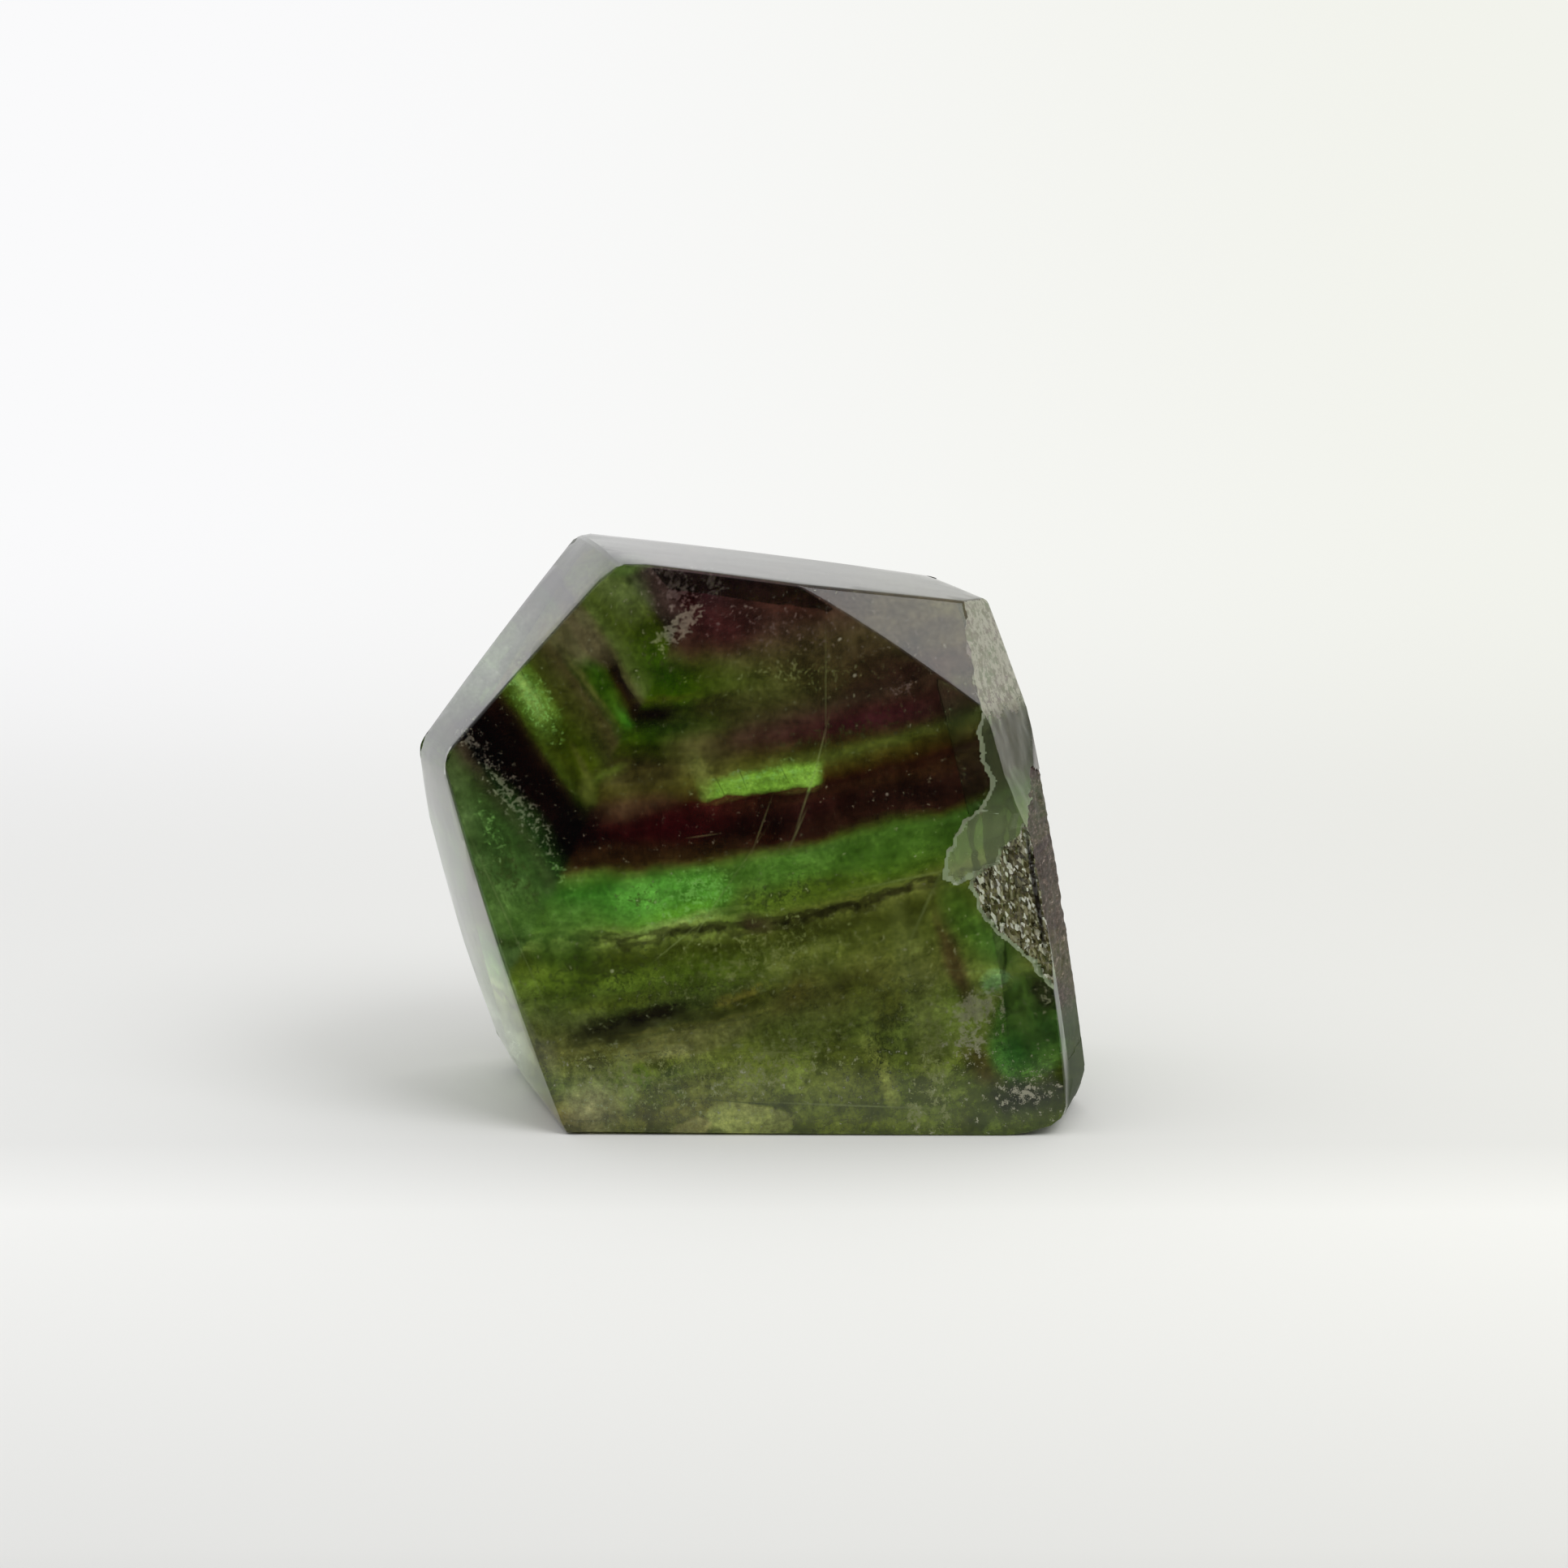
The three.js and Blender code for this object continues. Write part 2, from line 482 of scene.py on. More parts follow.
def shape_stone():
    stone = rough_block()
    for skin in SKINS:
        stone.data.materials.append(bpy.data.materials.new(skin))
    grind_flat(stone)
    round_edges(stone)
    score_grid(stone)
    crown_faces(stone)
    take_away(stone, ribbed_side_tool())
    take_away(stone, broken_face_tool())
    for bite in BITES:
        take_away(stone, bite_tool(bite))
    with whole_mesh(stone):
        bpy.ops.mesh.remove_doubles(threshold=SMALLEST_GAP * MM)
    bpy.ops.object.shade_smooth_by_angle(angle=SHARPEST_SMOOTH)
    mark_broken_skin(stone)
    stone.name = "polished_stone"
    return stone


# ---------------------------------------------------------------- materials
def linear(hex_colour):
    """An sRGB hex colour as linear RGBA."""
    parts = [int(hex_colour[i:i + 2], 16) / 255 for i in (0, 2, 4)]
    return tuple(p / 12.92 if p <= 0.04045 else ((p + 0.055) / 1.055) ** 2.4 for p in parts) + (1,)


EASED = {"interpolation_type": "SMOOTHSTEP"}     # eases in and out of a range
NOISE_SPAN = (0.3, 0.7)                          # where nearly all the values of a noise lie


def new_material(name):
    material = bpy.data.materials.new(name)
    material.use_nodes = True
    tree = material.node_tree
    tree.nodes.clear()
    return material, tree


def add(tree, kind, sockets=(), operation=None, **settings):
    """Adds a node with its settings and links.

    sockets is a list in the order of the sockets in use, or a dict by name. A plain value is set on
    its socket, an output is linked to it, and a node stands for its first output in use. So a noise
    lists its place, scale, detail and roughness, and a range lists a value, the two ends that it
    comes from and the two that it goes to. stops gives a ramp its places and colours; laid gives a
    texture its offset in mm, its turn and the size of its grain in mm."""
    node = tree.nodes.new("ShaderNode" + kind)
    if operation:
        node.operation = operation
    for key, value in settings.items():
        if key == "stops":
            ramp = node.color_ramp
            while len(ramp.elements) > 1:
                ramp.elements.remove(ramp.elements[0])
            for number, (place, shade) in enumerate(value):
                element = ramp.elements.new(place) if number else ramp.elements[0]
                element.position = place
                element.color = linear(shade)
        elif key == "laid":
            mapping = node.texture_mapping
            mapping.vector_type = "TEXTURE"
            mapping.translation, mapping.rotation, mapping.scale = value
        else:
            setattr(node, key, value)
    if isinstance(sockets, dict):
        pairs = [(node.inputs[name], value) for name, value in sockets.items()]
    else:
        pairs = list(zip([socket for socket in node.inputs if socket.enabled], sockets))
    for socket, value in pairs:
        if isinstance(value, bpy.types.Node):
            value = next(output for output in value.outputs if output.enabled)
        if isinstance(value, bpy.types.NodeSocket):
            tree.links.new(value, socket)
        else:
            socket.default_value = value
    return node


# The zones spread a little toward the back of the stone: a point carries the mark that lies on the
# front depth / SPREAD_DISTANCE of the way from there to SPREAD_FROM (mm).
SPREAD_FROM = (1.75, 0, 105)
SPREAD_DISTANCE = 478
DEEP_STRETCH = 0.04      # how fast the pattern changes from front to back, beside across

# The level zones rise to the right by LEVEL_RISE mm for each mm of x, and bend up by LEVEL_BEND
# times x squared. Those of the left limb are counted along LIMB_CLIMBS, from LIMB_START at the
# middle of the foot.
LEVEL_RISE, LEVEL_BEND = 0.163, 0.0042
LIMB_CLIMBS = (0.819, 0, 0.574)
LIMB_START = 24.56
LINE_HEIGHT = 19.9       # mm up the stack, where the thin dark line lies

FLUORITE_INDEX = 1.434
MILKY, CLEAR = 0.42, 0.82    # how much light goes through, by the foot and above it
FRONT_DEPTH = 3.0        # mm behind the front face that carry its fine marks

# The shells' colours by height in mm.
SHELL_TONES = ((21, "9aa884"), (27, "949f78"), (30, "5c664a"), (35, "4c523c"), (39, "64695a"))
SHELL_SPAN = 50          # mm

# The colour zones of the crystal, in mm across the zones, counted up from the foot of the front
# face. Three runs: the limb that climbs to the left, the elbow, and the long limb to the right.
ZONE_SPAN = 52.0
LEFT_LIMB = (
    (0, "5a6238"), (8, "566330"), (15, "4a6530"), (19, "647c48"), (22.4, "44512b"),
    (23.4, "3f3428"), (24.2, "020202"), (25.0, "0b0202"), (28.2, "0f0402"), (28.8, "241909"),
    (29.4, "3b4a0d"),
    (30.2, "39420a"), (31.4, "4b5906"), (32.6, "445111"), (33.8, "494a22"), (34.9, "514a29"),
    (35.4, "3f4c1c"), (36.0, "415d10"), (36.7, "2c5a16"), (37.1, "2c2a12"), (37.6, "291f04"),
    (38.4, "180c0c"), (38.8, "575631"), (39.4, "5b6a30"), (41.5, "4c5b14"), (43.2, "51640c"),
    (43.7, "333e12"), (44.0, "3a3b2c"), (47, "55363c"), (52, "452b33"),
)
ELBOW = (
    (0, "5c6439"), (3, "706631"), (6, "6e8137"), (9, "898b4a"), (12, "6c793e"), (15, "6f892b"),
    (17.0, "3e470f"), (18.6, "9bb053"), (19.6, "658a37"), (21.5, "607330"), (23, "294002"),
    (24.0, "566e25"), (24.5, "575022"), (25.0, "382610"), (27.4, "1d0203"), (28.8, "3e1612"),
    (29.5, "330607"), (32, "73722e"), (33.6, "393d0f"), (34.8, "2c3704"), (35.8, "3f5b0a"),
    (36.7, "313c08"), (37.1, "262c04"), (38.2, "181102"), (38.5, "465a09"), (39.2, "4c6902"),
    (41, "39460d"), (43.2, "563b2c"), (43.9, "4a3226"), (47, "432530"), (52, "3e2b2c"),
)
RIGHT_LIMB = (
    (0, "505e1b"), (3, "68762f"), (7, "94a850"), (11, "676b32"), (14, "646e2e"), (17, "49501a"),
    (18.8, "787f3a"), (20.0, "4e691a"), (22.4, "5e8933"), (23.9, "5f8a3a"), (24.4, "4f501a"),
    (24.9, "351d13"), (27.0, "351b13"), (28.8, "372110"), (29.5, "2b0f0a"), (30.0, "362307"),
    (31.0, "4a4314"), (31.9, "606a2a"), (32.6, "454116"), (34.0, "34110c"), (36.0, "423226"),
    (37.2, "37231c"), (39, "312616"), (41, "675c3b"), (43, "5a4837"), (44.6, "382423"),
    (48, "351f23"), (52, "352629"),
)

# Marks in the stone: middle x and z on the front face, half length, half width (mm), turn from the
# level (degrees), softness of the edge, colour and strength. A few are painted light instead: a
# painted glow on the upper left face, painted green light on the lower left face and a painted
# reflection of the foot low on the front face.
CLOUDS = (
    ("blue green of the left corner", -20, 23, 7.5, 3.2, -58, 0.5, "3e672a", 0.6),
    ("dim left corner", -19, 18.5, 5, 2.4, -20, 0.6, "598032", 0.6),
    ("deep green before the glow", -13, 20.8, 3.4, 1.8, 4, 0.6, "479230", 0.6),
    ("glow under the elbow", -7.2, 20.9, 5, 2.1, 8, 0.35, "70bd4b", 0.85),
    ("heart of the glow", -4.8, 21, 2.6, 1.3, 20, 0.6, "579831", 0.7),
    ("yellow foot of the glow", -6.4, 19.3, 3.2, 0.7, 14, 0.6, "72b030", 0.7),
    ("green right of the glow", 1.5, 23.6, 4.2, 1.2, 10, 0.5, "54822c", 0.6),
    ("fresh green, far right", 12.5, 25.9, 6.5, 1.4, 13, 0.5, "45681e", 0.75),
    ("dark green end", 17.5, 26.6, 2.4, 1.4, 13, 0.6, "182a02", 0.5),
    ("olive under the fresh green", 5, 21.2, 5.6, 1.1, 9, 0.4, "637826", 0.8),
    ("wine red in the dark zone", -5.5, 27, 4.4, 1.3, 4, 0.6, "33050a", 0.85),
    ("wine red eye", -3.6, 27.4, 1.6, 0.9, -20, 0.5, "240604", 0.7),
    ("rust above the wine red", -10.5, 28.5, 3.2, 0.8, 6, 0.6, "5f4631", 0.8),
    ("black heart of the dark zone", 1.5, 26.8, 4, 0.9, 8, 0.6, "130202", 0.8),
    ("black hollow", 1.4, 26.2, 1.4, 1, 0, 0.3, "1e0802", 0.8),
    ("wine red, middle", 5.5, 29, 4, 0.9, 10, 0.7, "300d12", 0.6),
    ("black right end of the dark zone", 14.5, 30, 4.6, 1.1, 12, 0.7, "110504", 0.75),
    ("black root of the left limb", -14.8, 27.6, 2.4, 2, -50, 0.5, "040202", 0.8),
    ("tan cloud at the elbow", -9.2, 31.2, 3.8, 1.3, 5, 0.4, "41381f", 0.8),
    ("eye in the tan cloud", -10, 30.9, 0.9, 0.6, 0, 0.5, "453e1d", 0.7),
    ("tan cloud over the bar", -4.4, 33.6, 3, 1.9, -40, 0.5, "646033", 0.75),
    ("grey haze over the bar", 1.2, 35, 4.6, 1.5, 8, 0.6, "563b33", 0.6),
    ("slanted end of the bar", -4.1, 31.4, 1.6, 0.7, -62, 0.6, "8b904c", 0.6),
    ("plum over the bar", 12.5, 36.4, 7.5, 1.1, 10, 0.6, "411c22", 0.8),
    ("black under the brow", 17.5, 36.6, 3, 1.6, 20, 0.7, "040202", 0.7),
    ("brown under the brow", 13, 39.4, 4, 1.3, -28, 0.7, "2e1c14", 0.7),
    ("olive heart", 1.5, 38.6, 4.6, 1.7, 6, 0.7, "545828", 0.7),
    ("olive heart, right", 6.5, 40.4, 3.6, 1.6, -4, 0.7, "463a22", 0.6),
    ("plum top", -2.5, 44.9, 6, 2.7, -4, 0.5, "36181b", 0.7),
    ("grey plum by the edge", -6.6, 47, 2.4, 1.5, -50, 0.5, "423330", 0.6),
    ("maroon eye, left", -5.2, 46.2, 1.5, 1.2, -60, 0.5, "1e0202", 0.9),
    ("maroon eye, right", -2.2, 43.7, 2.2, 1.6, 4, 0.6, "461f21", 0.7),
    ("brown top right", 6, 44.9, 6, 2.2, -14, 0.8, "352518", 0.7),
    ("wine top right", 3, 46.2, 3.6, 1, -10, 0.7, "512e27", 0.6),
    ("tan left top", -14.9, 42.9, 2.9, 1.7, -38, 0.35, "706749", 0.85),
    ("pale flake in the tan", -14.4, 44.6, 1.1, 0.6, -40, 0.5, "706d49", 0.7),
    ("green of the corner", -11.2, 47.4, 2.6, 1.5, -50, 0.6, "7c8b56", 0.6),
    ("pale corner", -11.2, 49.2, 2.4, 0.8, 8, 0.3, "66813f", 0.75),
    ("bright green in the top zone", -7.6, 40.6, 3.2, 1.5, -56, 0.7, "264c02", 0.7),
    ("bright left streak", -18.8, 38.2, 3.6, 1.2, -58, 0.45, "7aa23f", 0.9),
    ("pale heart of the streak", -19.2, 38.6, 2, 0.6, -58, 0.5, "a0c268", 0.8),
    ("tail of the left streak", -15.6, 33.6, 3.4, 0.8, -56, 0.6, "344004", 0.85),
    ("thread beside the tail", -14.1, 32, 2.2, 0.25, -60, 0.6, "565724", 0.6),
    ("loop, top", -12, 31.3, 1.6, 0.35, 18, 0.5, "5f7026", 0.8),
    ("loop, end", -13.7, 30.2, 0.7, 1.2, 10, 0.5, "6c7431", 0.85),
    ("brown inside the left limb", -15.6, 37.6, 3.6, 0.9, -52, 0.7, "4b4f1b", 0.7),
    ("thread by the stripe", -13.4, 38.4, 3, 0.16, -54, 0.7, "807c42", 0.55),
    ("aqua at the elbow", -10.5, 36.1, 0.9, 0.4, -45, 0.5, "519025", 0.85),
    ("bright stripe", -12.2, 38.8, 2.4, 0.6, -54, 0.6, "3b5a0a", 0.85),
    ("green inside the elbow", -6.6, 35.6, 2.6, 0.8, 4, 0.7, "143502", 0.7),
    ("shadow of the elbow", -7.8, 37.2, 1.8, 0.7, 4, 0.5, "0d0205", 0.8),
    ("pale ledge over the elbow", -7, 38.1, 2.2, 0.22, 2, 0.7, "534b19", 0.6),
    ("dark smear", -8.2, 10.9, 3.3, 0.8, 10, 0.35, "100402", 0.95),
    ("dark smear, left", -12.8, 9.7, 3.2, 0.7, 12, 0.5, "0d0202", 0.85),
    ("speckled shade over the smear", -11, 12, 4, 0.6, 10, 0.6, "7a8624", 0.6),
    ("brown under the smear", -10, 9.3, 4, 0.7, 10, 0.6, "0a0202", 0.6),
    ("knot on the thin line", 0.6, 18.7, 1.5, 0.75, -6, 0.4, "3b2f20", 0.9),
    ("brown edge of the line", -6, 18.5, 4.6, 0.3, 14, 0.5, "b9cf79", 0.7),
    ("mottle", -8.4, 6.1, 1.3, 0.6, -8, 0.3, "020202", 0.85),
    ("mottle, stem", -9.4, 4.9, 0.5, 1.2, 20, 0.4, "5d8225", 0.7),
    ("mottle, foot", -8.3, 2.9, 0.9, 0.7, -30, 0.4, "283604", 0.7),
    ("light beside the mottle", -10.6, 4.2, 0.5, 2.4, 6, 0.5, "899a5f", 0.6),
    ("grey mottle", -4.6, 4.2, 2.6, 0.9, 34, 0.5, "91934b", 0.6),
    ("light sheet, middle", -0.5, 3, 12.8, 6.6, 8, 0.05, "6a7729", 0.4),
    ("light lump, middle", 0.2, 5.6, 4.4, 2.4, 40, 0.15, "7f8a3c", 0.5),
    # Painted reflection of the foot: the pale patch at the bottom of the front face, in two parts.
    ("pale foot", 0, 1.3, 3.9, 1.5, -4, 0.08, "a4ac5e", 0.8),
    ("pale foot, left lobe", -5.2, 0.4, 1.8, 0.9, 10, 0.15, "b2ac69", 0.6),
    ("tan foot, far left", -13.6, 2.6, 1.9, 2.2, 20, 0.5, "949366", 0.6),
    ("open olive", 8.6, 6.6, 3, 3.4, 60, 0.6, "626825", 0.6),
    ("slanted light", 11.4, 6, 3.2, 0.7, -62, 0.5, "acb65b", 0.6),
    ("dim olive", -0.5, 12, 4.2, 1, 16, 0.7, "484c10", 0.75),
    ("brown veil", 4, 12.6, 2.2, 1, 40, 0.7, "736c33", 0.6),
    ("dim olive, right", 9, 13.4, 3.4, 1.5, 50, 0.8, "606129", 0.7),
    ("dim foot, right", 9, 1.2, 5, 0.9, 0, 0.6, "758223", 0.6),
    ("light column", 14.6, 11.5, 6.5, 1.2, -80, 0.6, "7f874b", 0.6),
    ("brown slanting zone", 17.7, 15.4, 3.8, 0.85, -75, 0.4, "584b2a", 0.95),
    ("green beside it", 19.2, 18.2, 3.6, 1.5, -66, 0.6, "557a2c", 0.75),
    ("dark green lobe", 24.4, 9.4, 5.2, 3.7, 70, 0.12, "578234", 0.95),
    ("green above the lobe", 21.8, 16.2, 2.8, 1.4, -50, 0.6, "3a6428", 0.7),
    ("deepest green", 23, 7.2, 1.7, 1.5, 0, 0.6, "3e772f", 0.9),
    ("lighter green in the lobe", 26, 9.6, 1.6, 1.6, 0, 0.8, "2c682c", 0.6),
    ("brown at the foot of the lobe", 20.2, 6, 2, 0.8, -44, 0.5, "524721", 0.85),
    ("grey heel", 24.4, 3, 3.4, 1.7, 10, 0.5, "101a0c", 0.8),
    ("dark crumbs by the lip", 25.8, 12.6, 1.6, 1.3, -50, 0.4, "241d18", 0.85),
    # Painted light on the left faces: a green white glow on the upper left face and pale green
    # light on the lower left face.
    ("green white glow in the left shoulder", -23, 40.4, 4.6, 1.5, 48, 0.6, "cfe3c0", 0.85),
    ("pale green light in the left side", -21.7, 9.6, 7.4, 1.6, -72, 0.4, "deeed2", 0.92),
    ("olive haze in the brow", 16.5, 44.6, 6.5, 3, -38, 0.6, "767249", 0.7),
    ("dark spots over the smear", -9.6, 12.4, 4.6, 0.5, 9, 0.3, "62722b", 0.5),
    ("torn edge under the smear", -4.5, 9.9, 7, 0.22, 10, 0.3, "949149", 0.45),
    ("sheet under the torn edge", -5.4, 8.2, 6, 1.3, 14, 0.12, "94925e", 0.4),
    ("mottle, arm", -7, 5.4, 0.9, 0.3, 30, 0.3, "3e5310", 0.7),
    ("mottle, far arm", -6.4, 3.6, 1, 0.35, -30, 0.3, "5a6f22", 0.6),
    ("light scales beside the mottle", -6.6, 7.4, 1.6, 0.5, 20, 0.2, "9e9f6d", 0.5),
    ("light scales at the smear's end", -1.2, 12.6, 2.2, 0.5, 20, 0.2, "b4a74d", 0.5),
    ("light scales under the knot", 3.6, 15.6, 2.4, 0.5, 12, 0.2, "7a8439", 0.5),
    ("light scales, right of the knot", 6.2, 16.6, 2, 0.45, 14, 0.2, "7f8a3f", 0.5),
    ("dark hollow under the veil", 11.8, 11, 1.3, 1.9, -30, 0.3, "57541e", 0.6),
    ("dark hollow beside it", 9.2, 12.9, 1.3, 0.8, 40, 0.4, "727d30", 0.5),
    ("slant sheet, right", 6.2, 6.4, 0.5, 4.6, -32, 0.15, "535c19", 0.45),
    ("green glass over the patch", 21.2, 13.6, 1.5, 0.8, 22, 0.15, "87b375", 0.8),
)

# Crumbs, in groups of one colour: middle x and z, half length, half width (mm), turn, softness, and
# how much of the place they cover.
CRUMBS = (
    ("dark scales", "37411a", (
        (-3, 13.4, 9, 2.2, 12, 0.8, 0.46), (-12, 14.4, 6, 1.8, 10, 0.8, 0.48),
        (3, 21.2, 6, 1.3, 10, 0.8, 0.46), (-8.4, 20.6, 3.4, 1.4, 4, 0.8, 0.36),
        (-17.8, 36.4, 4, 1.2, -54, 0.8, 0.44), (-8.6, 42.6, 4, 1.6, -54, 0.8, 0.4),
        (8, 34.6, 7, 1.4, 10, 0.8, 0.4), (-21, 23.4, 4, 2.4, -60, 0.8, 0.42),
        (11.5, 9, 3, 5, -20, 0.8, 0.44),
    )),
    ("light scales", "858d56", (
        (1, 15.4, 8, 2.4, 12, 0.8, 0.42), (2, 6.4, 9, 2.6, 24, 0.8, 0.44),
        (-10, 5.6, 5, 3.4, 10, 0.8, 0.42), (14.6, 1.7, 0.8, 1.5, 0, 0.6, 0.5),
        (17, 2.2, 0.5, 1.6, -4, 0.6, 0.52), (16.2, 8.4, 1.6, 6.4, 0, 0.8, 0.46),
        (4, 40, 7, 1.6, 6, 0.8, 0.3),
    )),
    ("bright grain", "8cc866", (
        (-4.6, 20.9, 3.2, 1.6, 16, 0.8, 0.52), (-5.2, 19.9, 3, 1.5, 10, 0.7, 0.4),
        (-18.6, 37.8, 3.8, 1.4, -56, 0.7, 0.42), (-22.6, 26.4, 1, 2.4, 20, 0.7, 0.36),
        (1, 31.2, 5, 0.9, 9, 0.6, 0.36), (-16.6, 23.2, 2.4, 0.8, -45, 0.7, 0.36),
    )),
    ("plum haze", "84706f", (
        (-6, 46.9, 2.8, 1.9, -50, 0.7, 0.5), (-2.9, 47.6, 0.9, 1.3, 10, 0.6, 0.5),
        (12.9, 38.6, 1, 0.7, 30, 0.7, 0.44), (2, 44, 8, 2.4, -8, 0.9, 0.26),
    )),
    ("pale crumbs", "b0ad98", (
        (-20.6, 29.4, 5.4, 1, -54, 0.8, 0.5), (-24.4, 34.2, 1.8, 0.7, -44, 0.6, 0.5),
        (-6, 43.9, 2.4, 1.1, 40, 0.5, 0.6), (-4.1, 45.2, 1.6, 0.35, 72, 0.5, 0.5),
        (19.4, 10.9, 2.3, 1.5, 36, 0.5, 0.68), (19, 8.4, 1.7, 1.9, 0, 0.7, 0.5),
        (21.6, 11.4, 2, 0.3, 86, 0.6, 0.46), (26, 12.2, 1.6, 0.5, -86, 0.6, 0.4),
        (24, 3.6, 2.6, 1.6, 20, 0.7, 0.46),
    )),
)

# Hairline cracks and specks, grouped the same way; the last number is their strength.
HAIRLINES = (
    ("pale cracks", "8a9664", (
        (6.6, 38.4, 3.4, 0.05, 90, 0.9, 0.5), (6.1, 33.2, 2.2, 0.06, 76, 0.9, 0.8),
        (4.9, 29.2, 2.1, 0.08, 72, 0.9, 0.85), (4.1, 26.4, 1.3, 0.08, 66, 0.9, 0.9),
        (1, 26.7, 1.7, 0.06, 70, 0.9, 0.7), (-2.6, 20.6, 4.4, 0.06, 56, 0.9, 0.6),
        (-6.2, 16.9, 2.4, 0.06, 40, 0.9, 0.5), (13, 22.2, 3.6, 0.08, 12, 0.9, 0.6),
        (15, 19.4, 2.4, 0.10, 66, 0.9, 0.6), (20.6, 14.3, 2.6, 0.05, -3, 0.9, 0.6),
        (-4, 26, 0.9, 0.06, 8, 0.9, 0.7), (8.5, 2.7, 6, 0.07, -2, 0.8, 0.5),
        (-20.2, 17, 9, 0.07, -66, 0.6, 0.4),
    )),
    ("dark ticks", "34451c", (
        (-2.6, 30.4, 0.8, 0.05, 118, 0.9, 0.8), (-0.6, 31, 1, 0.05, 112, 0.9, 0.7),
        (3, 31.4, 0.9, 0.05, 118, 0.9, 0.7), (-19.6, 40, 0.6, 0.05, 118, 0.9, 0.8),
        (-0.2, 2.9, 3.4, 0.07, -5, 0.6, 0.6),
    )),
    ("white specks", "d8d4c4", (
        (7.8, 42.9, 0.16, 0.10, 40, 0.6, 0.9), (9.1, 39.8, 0.16, 0.12, 40, 0.6, 0.9),
        (11.9, 29.6, 0.12, 0.12, 0, 0.6, 0.9), (-11.9, 14.3, 0.14, 0.14, 0, 0.6, 0.9),
    )),
)


def growth_place(tree):
    """The point in mm, the place on the front face whose marks it carries, and how deep it lies
    behind that face."""
    place = add(tree, "TexCoord")
    point = add(tree, "VectorMath", [place.outputs["Object"], 1 / MM], "SCALE")
    look = facing(*FACES["front"][:2])
    out = add(tree, "VectorMath", [point, look], "DOT_PRODUCT")
    level = FACES["front"][2] + look.dot(HEART)
    deep = add(tree, "Math", [level, out], "SUBTRACT")
    share = add(tree, "Math", [deep, 1 / SPREAD_DISTANCE], "MULTIPLY")
    lean = add(tree, "VectorMath", [SPREAD_FROM, point], "SUBTRACT")
    carried = add(tree, "VectorMath", [lean, share, point], "MULTIPLY_ADD")
    flat = add(tree, "VectorMath", [carried, (1, DEEP_STRETCH, 1)], "MULTIPLY")
    return point, flat, deep


def wandering(tree, place, grain, amount, octaves):
    """The place, pushed about by up to amount mm by a noise whose lumps are grain mm wide."""
    lumps = add(tree, "TexNoise", [place, 1 / grain, octaves, 0.6])
    widest, least = (2 * amount, 0, 2 * amount), (-amount, 0, -amount)
    push = add(tree, "VectorMath", [lumps.outputs["Color"], widest, least], "MULTIPLY_ADD")
    return add(tree, "VectorMath", [place, push], "ADD")


def spot(tree, place, x, z, half_length, half_width, turn, soft, strength):
    """strength inside an ellipse on the front face, 0 outside it, with a soft edge."""
    outer, inner = 1 + soft, max(1 - soft, 0)
    size = (half_length * outer, 1e6, half_width * outer)
    ball = add(
        tree, "TexGradient", [place],
        gradient_type="SPHERICAL", laid=((x, 0, z), (0, -math.radians(turn), 0), size),
    )
    return add(tree, "MapRange", [ball.outputs["Fac"], 0, 1 - inner / outer, 0, strength])


def lay(tree, colour, shade, *masks):
    """The colour with a shade laid over it, as far as all the masks together let it."""
    amount, *others = masks
    for other in others:
        amount = add(tree, "Math", [amount, other], "MULTIPLY")
    if isinstance(shade, str):
        shade = linear(shade)
    return add(tree, "Mix", [amount, colour, shade], data_type="RGBA")


def gathered(tree, place, spots):
    """The strongest of a list of spots at each point."""
    strongest, *others = (spot(tree, place, *shape) for shape in spots)
    for other in others:
        strongest = add(tree, "Math", [strongest, other], "MAXIMUM")
    return strongest


def colour_zones(tree, place):
    """The banding: level zones that rise to the right meet zones that climb to the left. Gives the
    colour, how high in the stack a point is, and how far across the growth layers (both in mm)."""
    parts = add(tree, "SeparateXYZ", [place])
    x, z = parts.outputs["X"], parts.outputs["Z"]
    bend = add(tree, "Math", [x, LEVEL_BEND, LEVEL_RISE], "MULTIPLY_ADD")
    rise = add(tree, "Math", [bend, x], "MULTIPLY")
    level = add(tree, "Math", [z, rise], "SUBTRACT")
    climb = add(tree, "VectorMath", [place, LIMB_CLIMBS], "DOT_PRODUCT")
    steep = add(tree, "Math", [climb, LIMB_START], "ADD")
    level_share, steep_share = (
        add(tree, "Math", [across, 1 / ZONE_SPAN], "MULTIPLY") for across in (level, steep)
    )
    left, elbow, right = (
        add(tree, "ValToRGB", [share], stops=[(mm / ZONE_SPAN, shade) for mm, shade in zones])
        for share, zones in (
            (steep_share, LEFT_LIMB), (level_share, ELBOW), (level_share, RIGHT_LIMB),
        )
    )
    to_right = add(tree, "MapRange", [x, -6, 5], **EASED)
    level_colour = lay(tree, elbow, right, to_right)
    side = add(tree, "Math", [level, steep], "SUBTRACT")
    turned = add(tree, "MapRange", [side, -0.25, 0.35], **EASED)
    across = add(tree, "Mix", [turned, level, steep], data_type="FLOAT")
    return lay(tree, level_colour, left, turned), level, across


def bright_bar(tree, level, place, colour):
    """The brightest zone, cut off square at its right end by a crack."""
    x = add(tree, "SeparateXYZ", [place]).outputs["X"]
    lean = add(tree, "Math", [level, 0.45, x], "MULTIPLY_ADD")
    sides = [
        add(tree, "MapRange", [across, outside, inside], **EASED)
        for across, outside, inside in (
            (lean, 9.0, 11.0), (x, 6.6, 5.3), (level, 29.45, 29.95), (level, 31.9, 31.2),
        )
    ]
    return lay(tree, colour, "8dbd47", *sides)


